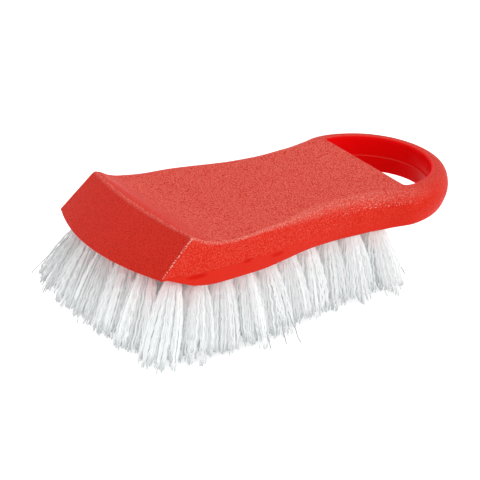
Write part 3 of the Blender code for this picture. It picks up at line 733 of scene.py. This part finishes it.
def skin_values(points):
    """The seven values of each point of the skin, as arrays of column and row."""
    columns, rows = points.shape[:2]
    row = np.arange(rows)[None, :]
    column = np.arange(columns)[:, None]
    x, z = points[..., 0], points[..., 2]
    on_nose = column < COLUMN_CORNER
    on_top = row < ROW_TURN
    on_wall = (row >= ROW_TURN) & (row <= ROW_SEAM)
    loop_share = np.clip(0.5 + (column - COLUMN_LOOP) / (2 * LOOP_EASE_COLUMNS), 0, 1)
    under_seam = np.clip((row - ROW_SEAM) / (LOWER_STEPS + ROUND_STEPS), 0, 1)
    lower = smooth_curve(SEAM_TABLE, x / NECK_END) * (1 - under_seam) * (row < ROW_UNDER)
    grain = np.where(row < ROW_SEAM, 1.0, lower)
    grain = grain * np.where(row < TOP_STEPS, 1 - RIDGE_SMOOTHING * fade(x, *RIDGE), 1)

    def by_place(top, loop_top, nose_value, side_start, side_values):
        """Grain times a value for the top, the nose or the side, where it changes with x."""
        along_side = np.interp(x, (side_start, NECK_END), side_values)
        return grain * np.where(on_top, between(top, loop_top, loop_share),
                                np.where(on_nose, nose_value, along_side))

    # Edge: a painted pale highlight along the top's crest, on the loop's slot rim and on the slot's
    # seam
    edge = fade(row, *CREST) * (1 - SOFTER_EDGE * smooth_curve(ROUND_TABLE, x / NECK_END))
    edge = edge * np.where(on_nose, NOSE_EDGE, between(1, LOOP_EDGE, loop_share))
    slot_rim_rows = (column >= COLUMN_LOOP) & ((row == 0) | (row == rows - 1))
    edge = np.maximum(edge, SLOT_RIM_EDGE * slot_rim_rows)
    edge = np.maximum(edge, 1.0 * (row == ROW_SLOT_SEAM))
    smear = np.zeros_like(x)
    for at_x, below, half_long, half_tall in SMEARS:
        apart = ((x - at_x) / half_long) ** 2 + ((z - parting_height(x) + below) / half_tall) ** 2
        smear = np.maximum(smear, fade(apart, 0, 1, SMEAR_PLATEAU))
    # Crease and glints place painted points of light, and sheen the painted highlights on the peaks
    return {"grain": grain, "sheen": by_place(*SHEEN), "pits": by_place(*PIT_SHADE), "edge": edge,
            "crease": CREASE_GLINT_STRENGTH * fade(column, *CREASE) * on_wall,
            "glints": fade(row, *SHOULDER) * fade(x, *GLINTS) * on_wall,
            "smear": smear * ((row > TOP_STEPS) & (row < ROW_UNDER))}


half_values = skin_values(half_skin)
print("mean of each value:", {name: round(float(v.mean()), 3) for name, v in half_values.items()})

# %% [markdown]
# The real block is one moulding, so its skin is one mesh: the half, and its mirror image without
# the two columns in the middle plane, in one closed ring. The upper side is the grained red, and
# the underside and the slot are the polished one.

# %% The finished block


def both_halves(half):
    """The half's columns, then the same in reverse order without the first and the last."""
    return np.concatenate([half, half[-2:0:-1]])


skin = both_halves(half_skin)
skin[len(half_skin):, :, 1] *= -1
skin += NOSE_PLACE
skin_points = skin.reshape(-1, 3)
skin_faces = facing_out(skin_points, grid_faces(*skin.shape[:2]))
block_mesh = mesh_from_arrays("handle_moulding", skin_points, skin_faces)
for value_name, values in half_values.items():
    add_point_values(block_mesh, value_name, both_halves(values))
handle_moulding = show_piece(block_mesh, moulded_red)
block_mesh.materials.append(polished_red)
polished_rows = np.tile(np.arange(skin.shape[1]), skin.shape[0]) >= ROW_UNDER
block_mesh.polygons.foreach_set("material_index", polished_rows.astype(np.int32))
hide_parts("handle_block")
volume = enclosed_volume(skin_points, skin_faces)
print("block has", len(skin_faces), "faces and", round(volume * 1e6, 1), "cubic centimetres")

# %% [markdown]
# The block is filled by machine: each tuft is folded over a wire anchor and driven into a drilled
# hole. The holes lean outwards, so that the tufts splay past the block at the nose and the sides.
# The rows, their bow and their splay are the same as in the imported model, and every tuft gets a
# root, a tip and the width that its tips cover.

# %% Where the tufts stand
TUFTS_IN_ROW = (6, 6, 6, 5, 5, 5, 4, 4, 4, 4)
LAST_ROW = len(TUFTS_IN_ROW) - 1
FIRST_ROW, ROW_PITCH, ROW_BOW = 0.0168, 0.01025, 0.0045
TUFT_EDGE_INSET = 0.0085
FRONT_SPLAY, SIDE_SPLAY = 0.0115, 0.0080
ROW_BOW_SHARES = (1, 0.6, 0.3, 0.1, 0, 0, 0, 0, 0, 0)
FRONT_SPLAY_SHARES = (1, 0.68, 0.42, 0.22, 0.08, 0, -0.03, -0.08, -0.20, -0.42)
SIDE_SPLAY_SHARES = (1, 1, 1, 1, 0.90, 0.60, 0.28, 0.12, 0, 0)
END_ROW_REACH, MIDDLE_ROW_REACH = 0.0065, 0.0074
TUFT_SIDE_OVERLAP = 1.15


def row_of_tufts(row):
    """Roots and tips of one row's tufts, and how far their tips spread along the block and across
    it. The row is a parabola's bow, and a tip stands off its root by the row's splay."""
    count = TUFTS_IN_ROW[row]
    share = np.linspace(-1, 1, count)
    side_x = FIRST_ROW + ROW_PITCH * row
    bow = ROW_BOW * ROW_BOW_SHARES[row] * (1 - share ** 2)
    span = float(half_width(side_x)) - TUFT_EDGE_INSET
    root = joined(side_x - bow, span * share, underside_height(side_x - bow))
    sideways = SIDE_SPLAY * SIDE_SPLAY_SHARES[row]
    forward = FRONT_SPLAY * FRONT_SPLAY_SHARES[row] - bow / 2
    tip = joined(root[:, 0] - forward, root[:, 1] + sideways * share, 0.0)
    along = END_ROW_REACH if row in (0, LAST_ROW) else MIDDLE_ROW_REACH
    reach = np.array([along, (span + sideways) / (count - 1) * TUFT_SIDE_OVERLAP])
    return root + NOSE_PLACE, tip + NOSE_PLACE, reach


tufts = [row_of_tufts(row) for row in range(len(TUFTS_IN_ROW))]
print("tufts:", sum(TUFTS_IN_ROW))

# %% [markdown]
# Where a tuft is driven in, the drill and the staple push up a low burr of plastic round the
# hole. One array holds them all: each is a small ring with an oval section, half sunk in the
# underside. That slopes, so a torus wouldn't fit, and each corner takes its height from the curve.

# %% Burrs round the holes
BURR_RADIUS = 0.00255
BURR_WIDTH, BURR_HEIGHT = 0.00042, 0.00026
BURR_COLUMNS, BURR_ROWS = 28, 8


def burr_rings(roots):
    """Points of one ring for each root: round the hole, then round the ring's own section."""
    turn = np.arange(BURR_COLUMNS)[None, :, None] * 2 * math.pi / BURR_COLUMNS
    bend = np.arange(BURR_ROWS)[None, None, :] * 2 * math.pi / BURR_ROWS
    radius = BURR_RADIUS + BURR_WIDTH * np.cos(bend)
    x = roots[:, 0, None, None] + radius * np.cos(turn)
    y = roots[:, 1, None, None] + radius * np.sin(turn)
    z = underside_height(x - block_low.x) - BURR_HEIGHT * np.sin(bend)
    return joined(x, y, z)


rings = burr_rings(np.concatenate([roots for roots, tips, reach in tufts]))
burr_points = rings.reshape(-1, 3)
burr_faces = repeated(grid_faces(BURR_COLUMNS, BURR_ROWS), len(rings), BURR_COLUMNS * BURR_ROWS)
burr_faces = facing_out(burr_points, burr_faces)
hole_burrs = show_piece(mesh_from_arrays("hole_burrs", burr_points, burr_faces), polished_red)
print("burrs:", len(rings))

# %% [markdown]
# The filament is white crimped plastic monofilament, drawn through a die and cut, matt with a
# faint sheen. The cut tips get a painted grey shade, and the roots a painted pink of light that
# bounces from the red block. One white with noise would lose the single filaments, so three point
# values say what differs: how far along the filament a point is, and a tone and a share of painted
# red bounce light for each.

# %% White crimped filament
STREAK_WIDTH_MM = 1.6


def white_filament_shader(add):
    """Grey to white by the tone, then painted pink light bounced from the red block near the root,
    and painted grey shade near the tip.
    """
    along, tone, blush = [add("Attribute", {"attribute_name": name}, "Fac")
                          for name in ("along", "tone", "blush")]
    place = add("TexCoord", output="Object")
    streak = add("TexNoise", Vector=place, Scale=1 / (STREAK_WIDTH_MM * MM), Detail=2)
    # Painted pink light bounced from the red block, near the roots of filaments that face inwards
    root_red_bounce = add("MapRange", Value=along, From_Max=0.45, To_Min=1.0, To_Max=0.0)
    root_red_bounce = add("Math", MULTIPLY, _0=root_red_bounce, _1=blush)
    # Painted grey shade towards the cut tips
    tip_shade = add("MapRange", Value=along, From_Min=0.90, To_Max=0.60)
    tint = linear("#8C8E8F")
    for share, colour in ((tone, "#FCFFFF"), (root_red_bounce, "#FFC8C0"), (tip_shade, "#B4BABD")):
        tint = add("Mix", COLOURS, 2, _0=share, _6=tint, _7=linear(colour))
    rough = add("MapRange", Value=streak, To_Min=0.50, To_Max=0.70)
    return add("BsdfPrincipled", Base_Color=tint, Roughness=rough, IOR=1.5,
               Specular_IOR_Level=0.35)


white_filament = new_material("crimped_white_filament", white_filament_shader)

# %% [markdown]
# A tuft is a bundle of filaments. Real ones are about 0.3 mm thick and over ten thousand in all.
# Here they are fewer and 0.48 mm thick, which fills the tufts as well. Hair would do for a picture,
# but tubes go with the exported model. All filaments of a tuft are one array: filament, ring along
# it, coordinate. Their crimp, from toothed rollers, is drawn as slow waves and a slight zigzag.

# %% Centre lines of crimped filaments
FILAMENT_RINGS = 19
CRIMP_HEIGHT, CRIMP_UNEVEN, CRIMP_RISE = 0.00004, 0.00001, 5
WAVE_SHARE_SHORT, WAVE_SHARE_LONG = 0.14, 0.20
LOCK_WAVE, OWN_WAVE = 0.00028, 0.00010
FAN_POWER = 2.0
GOLDEN_TURN = math.pi * (3 - math.sqrt(5))


def sunflower(count):
    """Places that fill the unit disc evenly: each is a golden turn on from the one before, and
    the radius grows as the square root of its number."""
    k = np.arange(count)
    radius = np.sqrt((k + 0.5) / count)
    return joined(radius * np.cos(k * GOLDEN_TURN), radius * np.sin(k * GOLDEN_TURN))


def waves(t, groups, group, height, random):
    """Sideways swings along filaments: a sine in t whose period, phase and direction are drawn once
    for each group of filaments."""
    period = random.uniform(WAVE_SHARE_SHORT, WAVE_SHARE_LONG, groups)[group][:, None]
    phase = random.uniform(0, 2 * math.pi, groups)[group][:, None]
    turn = random.uniform(0, 2 * math.pi, groups)[group][:, None]
    swing = height * np.sin(2 * math.pi * t / period + phase)
    return joined(swing * np.cos(turn), swing * np.sin(turn))


def crimped_lines(start, spread_start, end, spread_end, draw, lock, random):
    """Centre lines of filaments from start to end, as an array of filament, ring, coordinate. The
    sideways part of the way follows 1 - (1 - t) to the power of FAN_POWER, so it goes out early,
    and draw is added with the cube of t, so it shows towards the tips. The crimp is two waves, the
    lock's and the filament's own, and a zigzag that takes turns from ring to ring."""
    count = len(spread_start)
    steps = np.arange(FILAMENT_RINGS)
    t = np.tile(steps / (FILAMENT_RINGS - 1), (count, 1))
    fan = (1 - (1 - t) ** FAN_POWER)[..., None]
    line = start + (end - start) * t[..., None]
    line[..., :2] += spread_start[:, None, :] * (1 - fan) + spread_end[:, None, :] * fan
    line[..., :2] += draw[:, None, :] * t[..., None] ** 3
    bend = waves(t, lock.max() + 1, lock, LOCK_WAVE, random)
    bend += waves(t, count, np.arange(count), OWN_WAVE, random)
    crimp_turn = random.uniform(0, 2 * math.pi, lock.max() + 1)[lock]
    crimp_way = joined(np.cos(crimp_turn), np.sin(crimp_turn))
    bend += CRIMP_HEIGHT * crimp_way[:, None, :] * ((-1.0) ** steps)[None, :, None]
    bend += random.uniform(-CRIMP_UNEVEN, CRIMP_UNEVEN, bend.shape)
    line[..., :2] += bend * np.clip(t * CRIMP_RISE, 0, 1)[..., None]
    return line


print("first three places in a tuft of 96:", sunflower(96)[:3].round(3).tolist())

# %% [markdown]
# The roots fill a small disc in the spiral order of a sunflower's seeds, which packs a disc
# evenly. The filaments hang together in locks: those of one lock share a slow wave and a length,
# and they draw together close to their tips. The bundle fans out faster just below the block than
# further down. The blade that trims the brush leaves the tips uneven, and a few strays stand
# apart, as on any brush that has been handled.

# %% Tufts and strays
TUFT_ROOT_RADIUS = 0.00205
HIDDEN_ROOT = 0.0016
ROOT_UNEVEN = 0.04
LOCK_LEAN, OWN_LEAN = 0.09, 0.06
REACH_LIMIT = 1.05
TIP_GATHER = 0.50
TRIM_HEIGHT, LOCK_TRIM, OWN_TRIM = 0.0028, 0.0017, 0.0005
SHORT_SHARE, SHORT_BY = 0.15, 0.0032
LONG_SHARE, LONG_LIFT = 0.07, 0.0015
STRAY_BOW_SHARE = 0.12
# Each stray: its row, its tuft in the row, and the place of its tip from the nose
STRAYS = ((0, 5, -0.0045, 0.0425, 0.0080), (3, 0, 0.0486, -0.0495, 0.0002),
          (4, 0, 0.0554, -0.0493, 0.0002), (4, 0, 0.0608, -0.0505, 0.0002),
          (9, 0, 0.1250, -0.0230, 0.0040))


def filament_lines(root, tip, reach, count, locks, random):
    """Centre lines of one tuft's filaments, and the lock that each belongs to: the lock whose
    centre is nearest to the filament's place in the root. reach is how far the tips spread along
    the block and across it."""
    home = sunflower(count)
    centre = sunflower(locks)
    lock = np.argmin(np.linalg.norm(home[:, None] - centre[None], axis=2), axis=1)
    home = home + random.normal(0, ROOT_UNEVEN, home.shape)
    place = home + random.normal(0, OWN_LEAN, home.shape)
    place += random.normal(0, LOCK_LEAN, (locks, 2))[lock]
    away = np.linalg.norm(place, axis=1, keepdims=True)
    place *= np.minimum(1, REACH_LIMIT / away)
    axis = unit((root - tip)[None])[0]
    lift = TRIM_HEIGHT + random.normal(0, OWN_TRIM, count)
    lift += random.normal(0, LOCK_TRIM, locks)[lock]
    lift += (random.random(count) < SHORT_SHARE) * random.random(count) * SHORT_BY
    long_ones = random.random(count) < LONG_SHARE
    lift = np.where(long_ones, random.uniform(0, LONG_LIFT, count), np.maximum(lift, 0))
    end = np.tile(tip, (count, 1))[:, None, :]
    end[:, 0, 2] = lift
    start = (root + axis * HIDDEN_ROOT)[None, None, :]
    draw = (centre[lock] - home) * reach * TIP_GATHER
    line = crimped_lines(start, home * TUFT_ROOT_RADIUS, end, place * reach, draw, lock, random)
    return line, lock


def stray_line(root, tip, random):
    """Centre line of one stray filament, which leaves its tuft's root and ends apart."""
    start = root[None, None, :]
    end = np.array(tip)[None, None, :] + NOSE_PLACE
    nowhere = np.zeros((1, 2))
    bow = (end - start)[:, 0, :2] * STRAY_BOW_SHARE
    return crimped_lines(start, nowhere, end - np.append(bow[0], 0), bow, nowhere, np.array([0]),
                         random)


print("strays:", len(STRAYS))

# %% [markdown]
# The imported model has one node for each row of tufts, so each row is one mesh here too, and it
# stands for that node. Tufts that the eye can reach are filled more densely. The plastic is milky
# and passes light on, so a filament throws no shadow of its own: with full shadows the brush
# turned much greyer than a real one.

# %% Rows of filaments
FILAMENT_RADIUS = 0.00024
FILAMENT_SIDES = 3
OUTER_TUFT, INNER_TUFT = (215, 26), (96, 9)
TONE, TONE_SPREAD = 0.895, 0.07
# Strays take a far darker tone than the rest: painted shade on a lone white filament
STRAY_SHADE_TONE, DULL_TONE, DULL_SHARE = 0.25, 0.60, 0.05
# Share of painted red bounce light on the roots of filaments that don't face outwards
FLANK_RED_BOUNCE = 0.30
FIRST_SEED = 100


def tube_mesh(name, lines, tone, blush):
    """One mesh of closed tubes round lines, with the values along, tone and painted red bounce
    light on its points.
    Each ring lies flat, with its corners evenly turned, so that one side of each tube looks along
    +X. The last ring is flat too, as the trimming blade leaves it."""
    count, ring_count = lines.shape[:2]
    angle = (np.arange(FILAMENT_SIDES) + 0.5) * 2 * math.pi / FILAMENT_SIDES
    ring = joined(np.cos(angle), np.sin(angle), 0.0)
    points = (lines[:, :, None, :] + ring * FILAMENT_RADIUS).reshape(-1, 3)
    tube_step = ring_count * FILAMENT_SIDES
    tube_sides = repeated(grid_faces(ring_count, FILAMENT_SIDES, False), count, tube_step)
    root_caps = repeated(np.arange(FILAMENT_SIDES)[None], count, tube_step)
    tip_caps = root_caps[:, ::-1] + tube_step - FILAMENT_SIDES
    mesh = mesh_from_arrays(name, points, tube_sides, root_caps, tip_caps)
    mesh.shade_flat()
    along = np.tile(np.repeat(np.linspace(0, 1, ring_count), FILAMENT_SIDES), count)
    add_point_values(mesh, "along", along)
    add_point_values(mesh, "tone", np.repeat(tone, tube_step))
    add_point_values(mesh, "blush", np.repeat(blush, tube_step))
    return mesh


def row_filaments(row):
    """All filaments of one row. Those that don't face outwards get painted pink light, bounced
    from the red block, near their roots. A tuft's kind gives its numbers of filaments and of locks."""
    roots, tips, reach = tufts[row]
    random = np.random.default_rng(FIRST_SEED + row)
    lines, tones, red_bounces = [], [], []
    for k, (root, tip) in enumerate(zip(roots, tips)):
        outwards = np.array([(row == LAST_ROW) - (row == 0), (k == len(roots) - 1) - (k == 0)])
        count, locks = OUTER_TUFT if outwards.any() else INNER_TUFT
        line, lock = filament_lines(root, tip, reach, count, locks, random)
        lines.append(line)
        tone = random.normal(TONE, TONE_SPREAD, count) + random.normal(0, TONE_SPREAD, locks)[lock]
        tones.append(np.where(random.random(count) < DULL_SHARE, DULL_TONE, tone))
        red_bounces.append(FLANK_RED_BOUNCE * (1 - np.clip(sunflower(count) @ outwards, 0, 1)))
    for tuft, *tip in [stray[1:] for stray in STRAYS if stray[0] == row]:
        lines.append(stray_line(roots[tuft], tip, random))
        tones.append(np.array([STRAY_SHADE_TONE]))
        red_bounces.append(np.zeros(1))
    mesh = tube_mesh(f"filaments_row_{row + 1:02d}", np.concatenate(lines),
                     np.clip(np.concatenate(tones), 0, 1), np.concatenate(red_bounces))
    piece = show_piece(mesh, white_filament)
    piece.visible_shadow = False
    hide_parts(f"tuft_row_{row + 1:02d}")
    return len(mesh.polygons)


faces_made = [row_filaments(row) for row in range(len(TUFTS_IN_ROW))]
print("filament faces by row:", faces_made)

# %% [markdown]
# The anchors are flat drawn wire, sealed in the holes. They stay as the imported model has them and
# only get the look of drawn steel: a bright metal with fine scratches along it. Real ones are
# finer than a hundredth of a millimetre, and they are drawn about ten times as coarse.

# %% Drawn steel for the anchors
SCRATCH_WIDTH_MM = 0.08
SCRATCH_STRETCH = 0.08
SCRATCH_DEPTH_MM = 0.02


def drawn_steel_shader(add):
    """Noise that is stretched along the wire tints the steel and sets its roughness and bump."""
    place = add("TexCoord", output="Object")
    stretched = add("Mapping", Vector=place, Scale=(1, SCRATCH_STRETCH, 1))
    scratches = add("TexNoise", Vector=stretched, Scale=1 / (SCRATCH_WIDTH_MM * MM), Detail=3)
    tint = add("Mix", COLOURS, 2, _0=scratches, _6=linear("#A9A7A2"), _7=linear("#CFCDC8"))
    rough = add("MapRange", Value=scratches, To_Min=0.22, To_Max=0.42)
    bump = add("Bump", Strength=0.3, Distance=SCRATCH_DEPTH_MM * MM, Height=scratches)
    return add("BsdfPrincipled", Base_Color=tint, Metallic=1, Roughness=rough, Normal=bump)


drawn_steel = new_material("drawn_steel_wire", drawn_steel_shader)
anchors = [node for name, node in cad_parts.items() if name.startswith("anchor")]
for anchor in anchors:
    anchor.data.materials.clear()
    anchor.data.materials.append(drawn_steel)
print("anchors finished:", len(anchors))

# %% [markdown]
# The brush stands on a plain pale floor in a white room. The floor's colour, and a glow that only
# the camera and reflections see, make it white without more light on the brush, and it keeps the
# brush's soft shadow.

# %% Floor, backdrop and world
FLOOR_SIZE = 6.0
FLOOR_GLOW = 0.46
ROOM_LIGHT, ROOM_SEEN = 0.88, 1.0
WHITE = (1, 1, 1, 1)


def white_floor_shader(add):
    """A matt white with a glow that only camera, glossy and transmission rays see."""
    seen = add("LightPath", output="Is Camera Ray")
    for kind in ("Glossy", "Transmission"):
        ray = add("LightPath", output=f"Is {kind} Ray")
        seen = add("Math", MAXIMUM, _0=seen, _1=ray)
    strength = add("Math", MULTIPLY, _0=seen, _1=FLOOR_GLOW)
    matt = add("BsdfDiffuse", Color=linear("#F8F8F8"))
    light = add("Emission", Color=WHITE, Strength=strength)
    return add("AddShader", _0=matt, _1=light)


floor_mesh = mesh_from_arrays(
    "floor", np.array([[-1, -1, 0], [1, -1, 0], [1, 1, 0], [-1, 1, 0]]) * FLOOR_SIZE / 2,
    np.array([[0, 1, 2, 3]]))
floor_mesh.materials.append(new_material("white_floor", white_floor_shader))
floor = add_object("floor", floor_mesh)

world = bpy.data.worlds.new("white_room")
bpy.context.scene.world = world
add = fresh_tree(world)
camera_ray = add("LightPath", output="Is Camera Ray")
room_light = add("MapRange", Value=camera_ray, To_Min=ROOM_LIGHT, To_Max=ROOM_SEEN)
add("OutputWorld", Surface=add("Background", Color=WHITE, Strength=room_light))
print("floor and world made")

# %% [markdown]
# The photograph's light comes from large soft boxes: one in front of the near side, which makes
# the side wall the brightest red, and one high behind the brush, which lays a pale sheen over the
# top. The slanted front face gets less of both and is the darkest.

# %% Lights


def soft_box(name, place, aim, size, power, mirrored):
    """A soft box at a place, aimed at a point. It shows in glossy surfaces if it is mirrored."""
    light = bpy.data.lights.new(name, "AREA")
    light.shape = "RECTANGLE"
    light.size, light.size_y = size
    light.energy = power
    lamp = add_object(name, light)
    lamp.location = place
    lamp.rotation_mode = "QUATERNION"
    lamp.rotation_quaternion = (Vector(aim) - Vector(place)).to_track_quat("-Z", "Y")
    lamp.visible_glossy = mirrored


soft_box("near_side_box", place=(0.40, -1.25, 0.40), aim=(0, 0, 0.03), size=(0.9, 0.7), power=6.2,
         mirrored=False)
soft_box("back_top_box", place=(0.25, 1.1, 1.0), aim=(0, 0, 0.04), size=(1.4, 0.9), power=3.5,
         mirrored=True)
print("lights made")

# %% [markdown]
# The view keeps Blender's plain Standard transform, so a colour renders about as it is written.

# %% View settings and the end
bpy.context.scene.view_settings.view_transform = "Standard"
